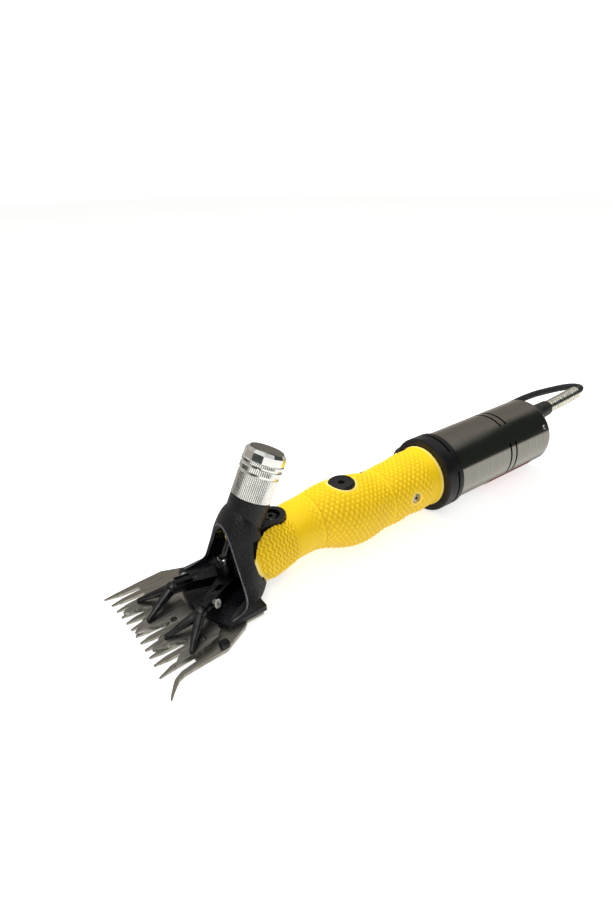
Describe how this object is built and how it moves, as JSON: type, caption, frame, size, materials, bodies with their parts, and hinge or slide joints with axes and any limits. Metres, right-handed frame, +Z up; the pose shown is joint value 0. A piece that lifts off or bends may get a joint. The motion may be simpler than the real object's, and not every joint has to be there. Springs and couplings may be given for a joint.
{
  "type": "sheep shears",
  "caption": "Electric sheep shearing handpiece with a toothed comb, a swinging cutter, a knurled tension nut, a soft grip, a round motor and its lead.",
  "frame": {"origin": "on the surface that the handpiece lies on, under the tip of the comb's middle tooth", "axes": "+X from the comb to the motor, +Y to the user's right, +Z up"},
  "size_m": [0.4177, 0.1173, 0.0918],
  "materials": {
    "head_black": "satin black wrinkle paint",
    "comb_steel": "ground tool steel",
    "cutter_steel": "ground tool steel with machining lines",
    "fork_black": "blackened forged steel",
    "yoke_steel": "dark polished steel",
    "bright_steel": "bright steel",
    "nut_chrome": "knurled nickel plate",
    "nut_top": "flat satin top",
    "grip_yellow": "textured yellow rubber",
    "plug_black": "satin black plastic",
    "collar_black": "satin black plastic",
    "case_steel": "polished stainless steel",
    "label_red": "plain red film",
    "gland_grey": "dark grey moulding",
    "relief_nickel": "nickel plate, ridged",
    "cord_black": "black jacket",
    "tie_black": "black strap",
    "tube_alu": "bare tube",
    "bearing_steel": "bearing steel",
    "stator_iron": "laminated iron and windings",
    "copper_wound": "wound rotor",
    "brass_pins": "brass"
  },
  "bodies": {
    "handpiece": {"head_casting": "head_black", "comb": "comb_steel", "comb_screws": "bright_steel", "comb_stop": "fork_black", "centre_post": "bearing_steel", "ear_screw": "yoke_steel", "front_bearing": "bearing_steel", "rear_bearing": "bearing_steel", "barrel_tube": "tube_alu", "grip": "grip_yellow", "grip_plug": "plug_black", "grip_screw": "bright_steel", "collar": "collar_black", "motor_plate": "tube_alu", "motor_case": "case_steel", "motor_stator": "stator_iron", "motor_bearings": "bearing_steel", "motor_end_bell": "tube_alu", "case_screws": "bright_steel", "motor_label": "label_red", "gland": "gland_grey", "strain_relief": "relief_nickel", "cord_tail": "cord_black", "cord": "cord_black", "cord_hank": "cord_black", "cord_tie": "tie_black", "cord_end": "cord_black", "connector_body": "plug_black", "connector_pins": "brass_pins"},
    "fork": {"fork_body": "fork_black", "yoke_screws": "bright_steel", "right_yoke": "yoke_steel", "left_yoke": "yoke_steel", "cutter": "cutter_steel", "tension_cup": "bright_steel", "tension_pin": "yoke_steel"},
    "drive": {"crankshaft": "bearing_steel", "crank_roller": "bright_steel", "shaft_coupling": "tube_alu", "motor_rotor": "copper_wound", "motor_shaft": "bearing_steel", "motor_fan": "plug_black"},
    "sleeve": {"tension_sleeve": "bearing_steel"},
    "nut": {"tension_nut": "nut_chrome", "nut_cap": "nut_top"},
    "plug_ring": {"connector_ring": "bright_steel"}
  },
  "joints": [
    {"name": "fork_swing", "type": "hinge", "parent": "handpiece", "child": "fork", "pos_m": [0.07127, 0, 0.0144], "axis": [-0.0698, 0, 0.9976], "range_deg": [-13.2, 0]},
    {"name": "drive_spin", "type": "hinge", "parent": "handpiece", "child": "drive", "pos_m": [0.09999, 0, 0.02456], "axis": [0.9998, 0, 0.0175], "continuous": true},
    {"name": "sleeve_slide", "type": "slide", "parent": "handpiece", "child": "sleeve", "axis": [0.4321, 0, 0.9018], "range_m": [0, 0.003]},
    {"name": "nut_turn", "type": "hinge", "parent": "sleeve", "child": "nut", "pos_m": [0.0775, 0, 0.0607], "axis": [0.4321, 0, 0.9018], "range_deg": [0, 720]},
    {"name": "plug_ring_turn", "type": "hinge", "parent": "handpiece", "child": "plug_ring", "pos_m": [0.195, 0.04, 0.0084], "axis": [-1, 0, 0], "range_deg": [0, 90]}
  ],
  "couplings": [
    {"joint": "nut_turn", "follows": "sleeve_slide", "rad_per_m": 4188.8}
  ]
}
